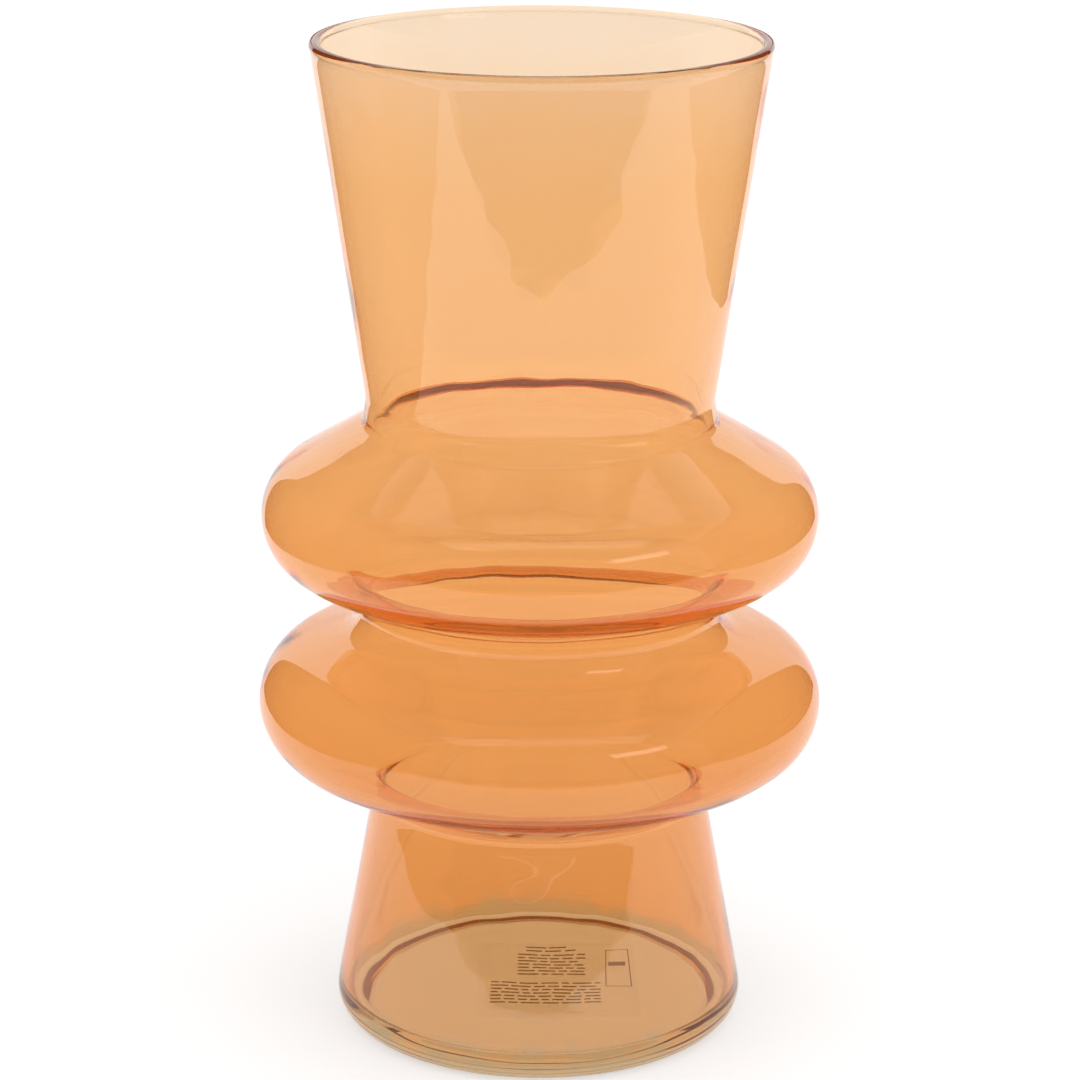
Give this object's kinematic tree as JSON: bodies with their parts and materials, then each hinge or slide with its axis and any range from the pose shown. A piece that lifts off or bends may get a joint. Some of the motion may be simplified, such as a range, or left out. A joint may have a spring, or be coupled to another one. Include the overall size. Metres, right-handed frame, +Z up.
{
  "type": "gourd vase",
  "caption": "Tall amber glass vase with a flared neck, bulging rings above and below a sharp waist, and a flared foot; it holds water and cut stems.",
  "frame": {"origin": "centre of the ring that the vase stands on", "axes": "+Z up along the axis of the vase, +X to the right and -Y towards the viewer of the picture"},
  "size_m": [0.1694, 0.1694, 0.3],
  "materials": {
    "clear_glass": "blown soda-lime glass, fire-polished",
    "amber_coat": "translucent sprayed coat, glossy",
    "label_film": "clear film, printed with plain bars"
  },
  "bodies": {
    "root": {"glass_body": "clear_glass", "colour_coat": "amber_coat", "base_label": "label_film"}
  },
  "joints": []
}
